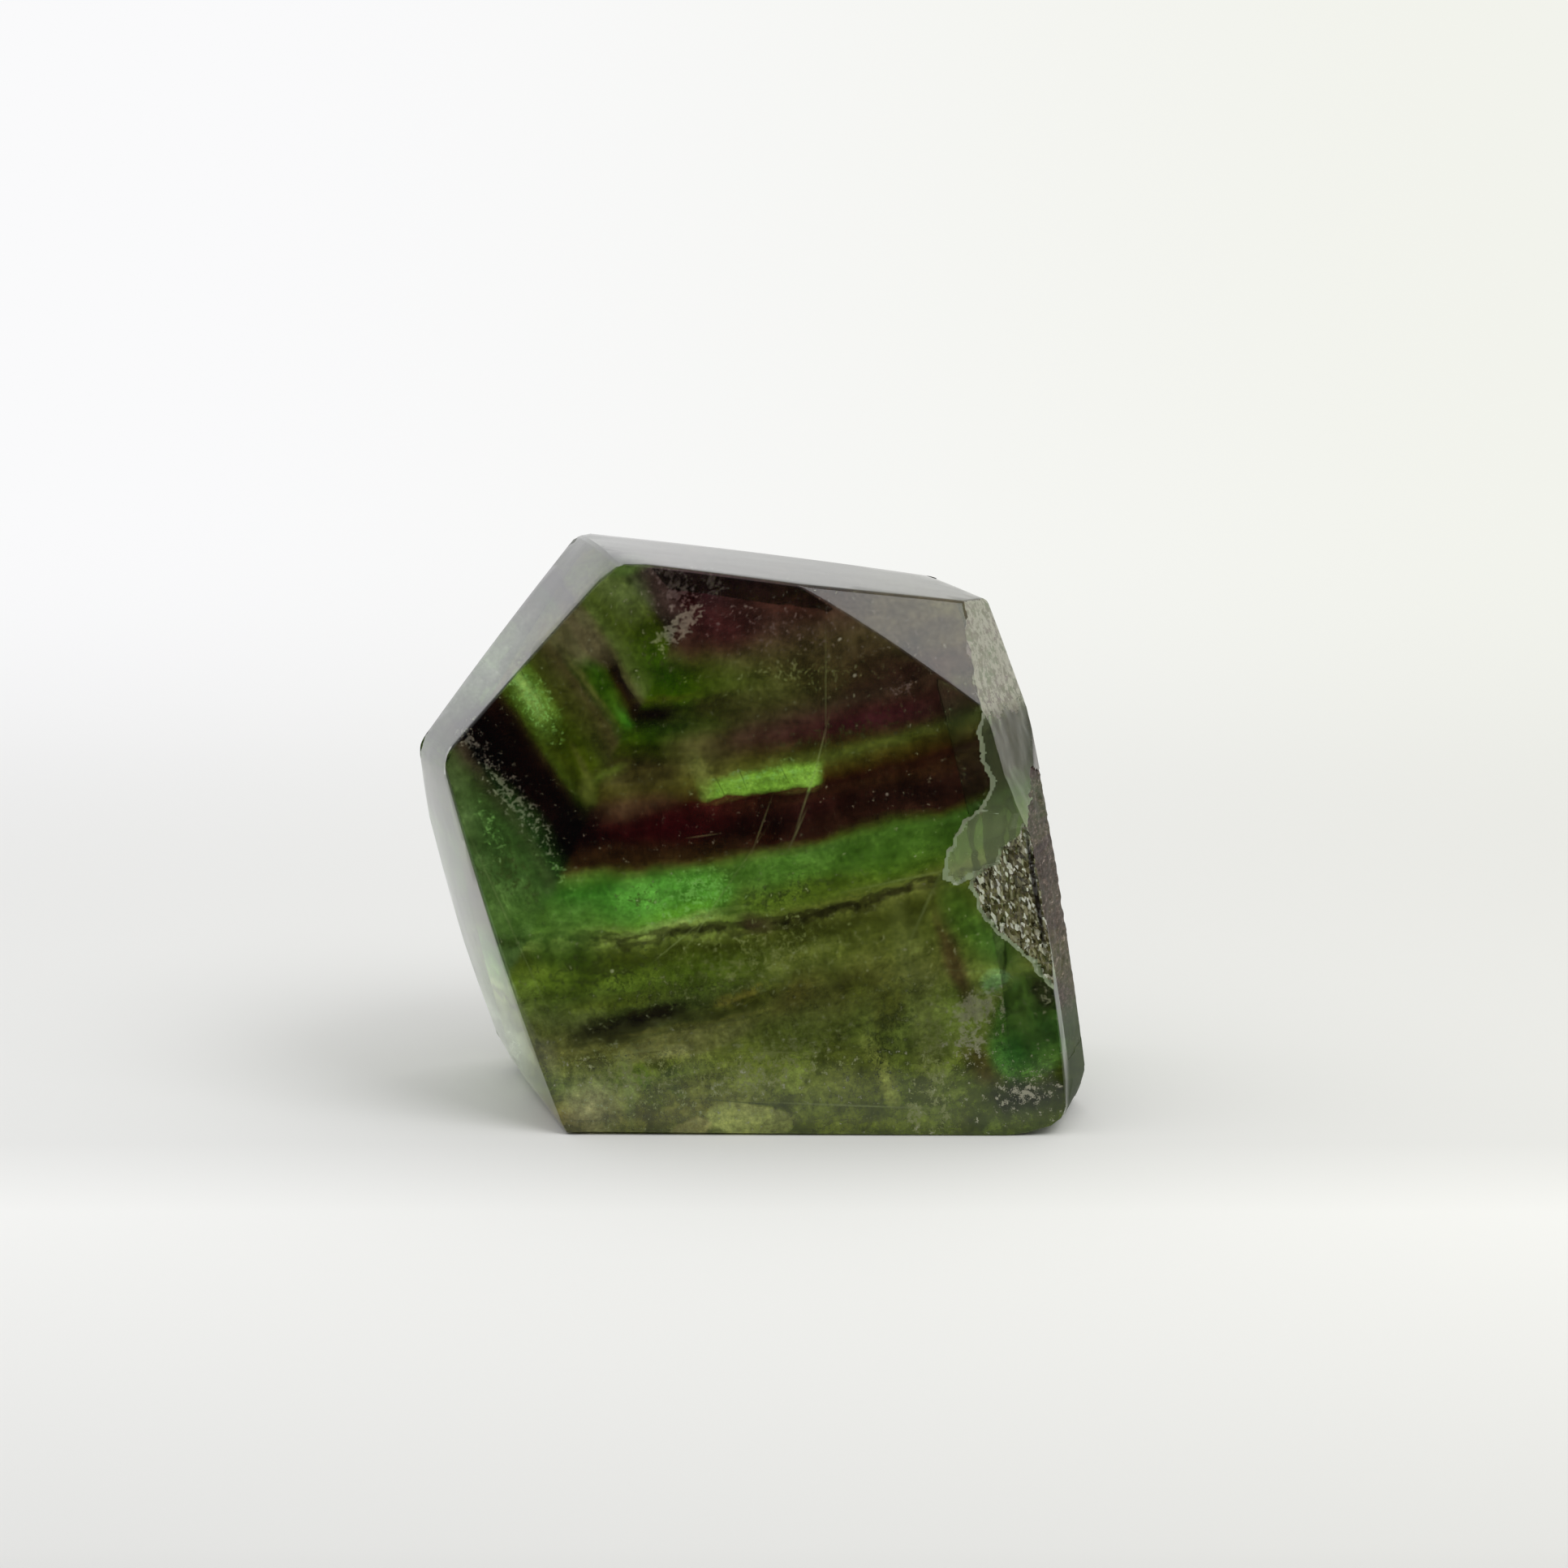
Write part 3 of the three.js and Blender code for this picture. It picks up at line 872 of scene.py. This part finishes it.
def thin_dark_line(tree, flat, level, colour):
    """One thin dark zone low in the stack, wavy like a layer that grew over crumbs."""
    wave = add(tree, "TexNoise", [flat, 0.3, 4, 0.62])
    sway = add(tree, "Math", [wave, 3.0, -LINE_HEIGHT], "MULTIPLY_ADD")
    off = add(tree, "Math", [level, sway], "ADD")
    near = add(tree, "Math", [off], "ABSOLUTE")
    body = add(tree, "MapRange", [near, 0.6, 0.2, 0, 0.9], **EASED)
    return lay(tree, colour, "23200e", body)


def growth_texture(tree, place, flat, level, across, cloud, colour):
    """The unevenness inside the zones, from lumps 4 mm wide down to grit of a twentieth."""
    # Fine layers of growth that follow the zones, 0.3 to 1 mm apart.
    run = add(tree, "VectorMath", [flat, (0.16, 1.0, 0.06)], "DOT_PRODUCT")
    layered = add(tree, "CombineXYZ", [run, across])
    fine = add(tree, "TexNoise", [layered, 1.0, 4, 0.7], noise_dimensions="2D")
    # Veils that hang across the lower half, 2 to 5 mm wide, at about 60 degrees.
    veils = add(
        tree, "TexNoise",
        {"Vector": place, "Scale": 1, "Detail": 6, "Roughness": 0.62, "Distortion": 2.2},
        laid=((0, 0, 0), (0, math.radians(60), 0), (7.0, 1.0, 3.0)),
    )
    # Grit, half a millimetre down to a twentieth.
    grit = add(tree, "TexNoise", [flat, 1.5, 4, 0.82])
    # Torn sheets, about 3.6 by 1.4 mm, each a little lighter or darker than the next.
    sheets = add(
        tree, "TexVoronoi", {"Vector": place, "Scale": 1},
        laid=((0, 0, 0), (0, math.radians(-28), 0), (3.6, 4.0, 1.4)),
    )
    sheet = add(tree, "SeparateColor", [sheets.outputs["Color"]])
    low = add(tree, "MapRange", [level, 19, 12, 0.3, 1], **EASED)
    hang = add(tree, "MapRange", [veils, *NOISE_SPAN, 0.36, -0.36])
    torn = add(tree, "MapRange", [sheet, 0, 1, -0.22, 0.22])
    tone = add(tree, "Math", [hang, low, 1.0], "MULTIPLY_ADD")
    tear = add(tree, "Math", [torn, low, 1.0], "MULTIPLY_ADD")
    layer = add(tree, "MapRange", [fine, *NOISE_SPAN, 1.24, 0.76])
    lump = add(tree, "MapRange", [cloud, *NOISE_SPAN, 1.45, 0.55])
    speck = add(tree, "MapRange", [grit, *NOISE_SPAN, 1.45, 0.55])
    for more in (tear, layer, lump, speck):
        tone = add(tree, "Math", [tone, more], "MULTIPLY")
    toned = add(tree, "VectorMath", [colour, tone], "SCALE")
    dense = add(tree, "MapRange", [cloud, *NOISE_SPAN, 0.85, 1.2])
    return add(tree, "Gamma", [toned, dense])


def crumbs_and_hairlines(tree, place, flat, deep, colour):
    """Bruises and scales are crumbs 0.2 to 0.8 mm across, gathered in the listed places; hairlines
    lie just under the front face."""
    crumbs = add(tree, "TexNoise", [flat, 1.7, 5, 0.8])
    for _, shade, places in CRUMBS:
        cover = gathered(tree, place, places)
        reach = add(tree, "Math", [cover, 0.3, crumbs], "MULTIPLY_ADD")
        crumb = add(tree, "MapRange", [reach, 0.62, 0.67], **EASED)
        colour = lay(tree, colour, shade, crumb)
    near = add(tree, "MapRange", [deep, 2.0, 1.2], **EASED)
    for _, shade, places in HAIRLINES:
        colour = lay(tree, colour, shade, gathered(tree, flat, places), near)
    return colour


def broken_kinds(tree, x, height):
    """How far each point is frosted, stepped, shelled and ribbed, from 0 to 1."""
    skin = add(tree, "Attribute", attribute_name="broken")
    frosted, stepped, shelled = add(tree, "SeparateColor", [skin]).outputs
    # The lower right corner is bruised dull by wear, and counts as part of the ribbed side.
    outward = add(tree, "MapRange", [x, 27.2, 28.0], **EASED)
    beneath = add(tree, "MapRange", [height, 15.0, 13.0], **EASED)
    worn = add(tree, "Math", [outward, beneath], "MULTIPLY")
    cut = add(tree, "Math", [1.0, skin.outputs["Alpha"]], "SUBTRACT")
    ribbed = add(tree, "Math", [cut, worn], "MAXIMUM")
    return frosted, stepped, shelled, ribbed


def shell_colour(tree, x, height, shelled, colour):
    """Shell-shaped bites: smooth glass, olive grey high up and grey green lower down, with a
    painted highlight along each lip. Gives the colour, and where the shells are made darker towards
    the right side, high up."""
    share = add(tree, "Math", [height, 1 / SHELL_SPAN], "MULTIPLY")
    tone = add(tree, "ValToRGB", [share], stops=[(z / SHELL_SPAN, tint) for z, tint in SHELL_TONES])
    floor = add(tree, "MapRange", [shelled, 0, 0.5, 0, 0.75])
    # The lips are painted pale green: a painted highlight along the ridge where each bite meets the
    # front face.
    lip = add(tree, "MapRange", [shelled, 0.6, 1.0, 0, 0.75])
    colour = lay(tree, lay(tree, colour, tone, floor), "97a487", lip)
    sideways = add(tree, "MapRange", [x, 23.0, 24.8], **EASED)
    above = add(tree, "MapRange", [height, 27.5, 29.5, 0, 1.1], **EASED)
    shade = add(tree, "Math", [sideways, above], "MULTIPLY")
    shaded = add(tree, "Math", [shade, shelled], "MULTIPLY")
    return lay(tree, colour, "272b20", shaded), shaded


def frost_colour(tree, point, height, frosted, cloud, colour):
    """The snapped corner is frosted, grey white with a breath of green and pink, brightest at the
    top, and its edge against the brow is crushed to a ragged white line."""
    grains = add(tree, "TexNoise", [point, 1.3, 5, 0.74])
    tint = add(tree, "ValToRGB", [cloud], stops=[(0.4, "a6b49a"), (0.5, "b4b4a4"), (0.6, "b2a6a4")])
    bright = add(tree, "MapRange", [grains, *NOISE_SPAN, 1.35, 0.5])
    frost = add(tree, "Gamma", [tint, bright])
    fade = add(tree, "MapRange", [height, 31, 40, 0.45, 1.0], **EASED)
    faded = add(tree, "VectorMath", [frost, fade], "SCALE")
    cover = add(tree, "MapRange", [height, 33, 38, 0.3, 0.8], **EASED)
    colour = lay(tree, colour, faded, frosted, cover)
    azimuth, elevation, reach, _ = FACES["broken right"]
    snap = facing(azimuth, elevation)
    away = add(tree, "VectorMath", [point, snap], "DOT_PRODUCT")
    behind = add(tree, "Math", [reach + snap.dot(HEART), away], "SUBTRACT")
    ragged = add(tree, "Math", [grains, 3.0, -1.2], "MULTIPLY_ADD")
    crushed = add(tree, "Math", [behind, ragged], "LESS_THAN")
    upper = add(tree, "MapRange", [height, 35.5, 37.5, 0, 0.9], **EASED)
    return lay(tree, colour, "ccccbc", crushed, upper)


def hollow_and_side_colour(tree, point, flat, height, stepped, ribbed, colour):
    """The stepped hollow sparkles with painted glints, and beyond it the side broke in plum ribs;
    painted shade darkens the crease between them.
    """
    # Slivers about 0.2 by 0.45 mm, each painted its own tone from dark to near white: painted
    # glints, laid over the real steps, which are each tilted their own way.
    slivers = add(
        tree, "TexVoronoi", {"Vector": point, "Scale": 1},
        laid=((0, 0, 0), (0, math.radians(62), 0), (0.45, 0.4, 0.2)),
    )
    sliver = add(tree, "SeparateColor", [slivers.outputs["Color"]])
    painted_glints = add(
        tree, "ValToRGB", [sliver],
        stops=[
            (0, "30281c"), (0.35, "5a5038"), (0.62, "8c8468"), (0.8, "bcb8a0"), (0.88, "fafaf0"),
        ],
    )
    colour = lay(tree, colour, painted_glints, stepped, 0.9)

    # The ribs have fine light ticks along them, and the side is green below them.
    ribs = add(
        tree, "TexNoise", [point, 1, 5, 0.8], laid=((0, 0, 0), (0, 0, 0), (1.3, 1.3, 0.32)),
    )
    rib_tone = add(
        tree, "ValToRGB", [ribs],
        stops=[(0.36, "241819"), (0.52, "453434"), (0.6, "6a5653"), (0.68, "b4a49a")],
    )
    plum = add(tree, "MapRange", [height, 8.5, 11.5], **EASED)
    side_tone = lay(tree, linear("38412e"), rib_tone, plum)
    colour = lay(tree, colour, side_tone, ribbed, 0.88)

    # A dark line of painted shade runs down the crease where the hollow meets the ribs.
    painted_crease_shade = spot(tree, flat, 24.75, 21.5, 5.8, 0.25, -80.6, 0.4, 1.0)
    either = add(tree, "Math", [stepped, ribbed], "MAXIMUM")
    return lay(tree, colour, "1a1210", painted_crease_shade, either)


def banded_fluorite():
    """Fluorite, ground and tumble polished: a glassy skin with a low index, so bright light slides
    off it only at the edges, and clear colour zones that run through the whole stone."""
    material, tree = new_material("banded fluorite")
    point, flat, deep = growth_place(tree)
    parts = add(tree, "SeparateXYZ", [point])
    x, height = parts.outputs["X"], parts.outputs["Z"]
    place = wandering(tree, wandering(tree, flat, 8.0, 0.8, 1), 1.5, 0.5, 6)
    colour, level, across = colour_zones(tree, place)
    colour = bright_bar(tree, level, place, colour)
    colour = thin_dark_line(tree, flat, level, colour)
    for _, *shape, shade, strength in CLOUDS:
        colour = lay(tree, colour, shade, spot(tree, place, *shape, strength))
    # Cloudiness, 4 mm lumps down to a tenth of a millimetre.
    cloud = add(tree, "TexNoise", [flat, 0.3, 7, 0.76])
    deep_colour = growth_texture(tree, place, flat, level, across, cloud, colour)

    frosted, stepped, shelled, ribbed = broken_kinds(tree, x, height)
    colour = crumbs_and_hairlines(tree, place, flat, deep, deep_colour)
    colour, shaded = shell_colour(tree, x, height, shelled, colour)
    colour = frost_colour(tree, point, height, frosted, cloud, colour)
    colour = hollow_and_side_colour(tree, point, flat, height, stepped, ribbed, colour)

    # The polish: about 0.03, a little duller in clouds and where the skin is broken.
    polish = add(tree, "MapRange", [cloud, *NOISE_SPAN, 0.02, 0.06])
    roughness = polish
    for kind, more in ((frosted, 0.42), (ribbed, 0.45), (stepped, 0.12)):
        roughness = add(tree, "Math", [kind, more, roughness], "MULTIPLY_ADD")
    # The stone grows milky towards its foot. Broken skin lets less light straight through and has
    # less gloss.
    clean = add(tree, "MapRange", [height, 5, 10, MILKY, CLEAR], **EASED)
    through = clean
    for kind, less in (
        (shelled, 0.44), (shaded, 0.6), (frosted, 0.35), (stepped, 0.4), (ribbed, 0.62),
    ):
        through = add(tree, "Math", [kind, -less, through], "MULTIPLY_ADD")
    gloss = add(tree, "MapRange", [shelled, 0, 0.5, 0.5, 0.25])
    for kind, less in ((ribbed, 0.45), (shaded, 0.4)):
        gloss = add(tree, "Math", [kind, -less, gloss], "MULTIPLY_ADD")

    # Tumbling leaves a faint ripple, 4 mm across and a few hundredths of a millimetre high.
    ripple = add(tree, "TexNoise", [point, 0.22, 1, 0.4])
    bump = add(tree, "Bump", {"Strength": 0.5, "Distance": 0.04 * MM, "Height": ripple})

    glass = add(tree, "BsdfPrincipled", {
        "Base Color": deep_colour, "Roughness": polish, "Normal": bump, "IOR": FLUORITE_INDEX,
        "Transmission Weight": clean,
    })
    skin_and_front = add(tree, "BsdfPrincipled", {
        "Base Color": colour, "Roughness": roughness, "Normal": bump, "IOR": FLUORITE_INDEX,
        "Transmission Weight": through, "Specular IOR Level": gloss,
    })
    # The crumbs, the hairlines and the broken skins belong to the front few millimetres and to the
    # broken side; elsewhere the plain zones are enough.
    at_front = add(tree, "Math", [deep, FRONT_DEPTH], "LESS_THAN")
    rough = add(tree, "Math", [frosted, stepped], "ADD")
    smooth = add(tree, "Math", [shelled, ribbed], "ADD")
    any_break = add(tree, "Math", [rough, smooth], "ADD")
    broken = add(tree, "Math", [any_break, 0.01], "GREATER_THAN")
    which = add(tree, "Math", [at_front, broken], "MAXIMUM")
    shader = add(tree, "MixShader", [which, glass, skin_and_front])
    # Inside, the stone swallows a little light, evenly, and more of the blue.
    depth = add(tree, "VolumeAbsorption", {"Color": linear("dfe6cf"), "Density": 25})
    add(tree, "OutputMaterial", {"Surface": shader, "Volume": depth})
    return material


def matt_card():
    """Matt white card: plain and pale, so nothing but the stone draws the eye. Painted shade
    darkens it toward its near end, which lies outside the light, a faint band of painted shadow
    lies around the stone, and it is painted a little warmer to the right; its far end glows as if
    lit from behind."""
    material, tree = new_material("matt white card")
    place = add(tree, "TexCoord")
    parts = add(tree, "SeparateXYZ", [place.outputs["Object"]])
    away = add(tree, "MapRange", [parts.outputs["Y"], -0.21, 0.0])
    # The card's tone by distance: painted shade toward the near end, and a slight dip by the stone
    # as painted shadow.
    shade = add(
        tree, "ValToRGB", [away],
        stops=[(0, "4a4a4a"), (0.45, "dededf"), (0.8, "f2f2f3"), (0.9, "e6e6e7"), (1, "e8e8e9")],
    )
    # A painted warm cast of the light: the card is a little warmer to the right.
    warm = add(tree, "MapRange", [parts.outputs["X"], -0.12, 0.16], **EASED)
    painted_warm_cast = lay(tree, linear("ffffff"), "fbfbf7", warm)
    paper = add(tree, "VectorMath", [shade, painted_warm_cast], "MULTIPLY")
    card = add(tree, "BsdfDiffuse", [paper])
    glow = add(tree, "Emission", [lay(tree, linear("fafafb"), "f2f3ec", warm), 1])
    lit = add(tree, "MapRange", [parts.outputs["Y"], 0.05, 0.32], **EASED)
    shader = add(tree, "MixShader", [lit, card, glow])
    add(tree, "OutputMaterial", {"Surface": shader})
    return material


# ---------------------------------------------------------------- the studio
ROOM_DARK, ROOM_LIGHT = 0.04, 0.94   # the room behind the camera, and what is added elsewhere
CAMERA_RISE = math.radians(10)
CAMERA_DISTANCE = 0.350              # metres
CAMERA_AIM = Vector((0.003, 0, 0.0278))
LENS, SENSOR_WIDTH = 88.9, 36        # mm


def paper_sweep():
    """A sheet of card that lies flat, then bends up into a wall behind the stone (metres)."""
    rest_tools()
    bpy.ops.mesh.primitive_plane_add(size=1)
    sweep = bpy.context.object
    sweep.name = "paper_sweep"
    front, flat_to, bend, top, side = -1.2, 0.20, 0.40, 1.4, 1.8
    bend_steps = 24
    rows = [(front, 0), (flat_to, 0)]
    for step in range(1, bend_steps + 1):
        turn = math.pi / 2 * step / bend_steps
        rows.append((flat_to + bend * math.sin(turn), bend * (1 - math.cos(turn))))
    rows.append((flat_to + bend, top))
    mesh = bmesh.new()
    pairs = [(mesh.verts.new((-side, y, z)), mesh.verts.new((side, y, z))) for y, z in rows]
    for (a, b), (c, d) in zip(pairs, pairs[1:]):
        mesh.faces.new((a, b, d, c))
    mesh.to_mesh(sweep.data)
    mesh.free()
    sweep.data.materials.append(matt_card())
    for polygon in sweep.data.polygons:
        polygon.use_smooth = True


def softbox(name, place, target, size, power):
    light = bpy.data.lights.new(name, "AREA")
    light.shape = "RECTANGLE"
    light.size, light.size_y = size
    light.energy = power
    lamp = bpy.data.objects.new(name, light)
    bpy.context.collection.objects.link(lamp)
    lamp.location = place
    lamp.rotation_euler = (Vector(target) - Vector(place)).to_track_quat("-Z", "Y").to_euler()


def room_light():
    """A dark room behind the camera, and bright everywhere else."""
    world = bpy.data.worlds.new("room")
    bpy.context.scene.world = world
    world.use_nodes = True
    tree = world.node_tree
    tree.nodes.clear()
    place = add(tree, "TexCoord")
    split = add(tree, "SeparateXYZ", [place])
    ahead = add(tree, "MapRange", [split.outputs["Y"], -0.75, -0.1], **EASED)
    high = add(tree, "MapRange", [split.outputs["Z"], 0.25, 0.7], **EASED)
    either = add(tree, "Math", [ahead, high], "MAXIMUM")
    strength = add(tree, "Math", [either, ROOM_LIGHT, ROOM_DARK], "MULTIPLY_ADD")
    colour = lay(tree, linear("ffffff"), "fefefa", high)
    glow = add(tree, "Background", [colour, strength])
    add(tree, "OutputWorld", {"Surface": glow})


def camera():
    lens = bpy.data.cameras.new("camera")
    eye = bpy.data.objects.new("camera", lens)
    bpy.context.collection.objects.link(eye)
    lens.sensor_width = SENSOR_WIDTH
    lens.lens = LENS
    back = Vector((0, -math.cos(CAMERA_RISE), math.sin(CAMERA_RISE)))
    eye.location = CAMERA_AIM + back * CAMERA_DISTANCE
    eye.rotation_euler = (math.radians(90) - CAMERA_RISE, 0, 0)
    bpy.context.scene.camera = eye


# ---------------------------------------------------------------- the whole scene
stone = shape_stone()
stone.data.materials.append(banded_fluorite())
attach(stone, "root")
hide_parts(NODE)

paper_sweep()
room_light()
softbox("key", (0.30, -0.28, 0.50), (0, 0, 0.03), (0.34, 0.30), 1.1)
camera()
bpy.context.scene.view_settings.view_transform = "Standard"
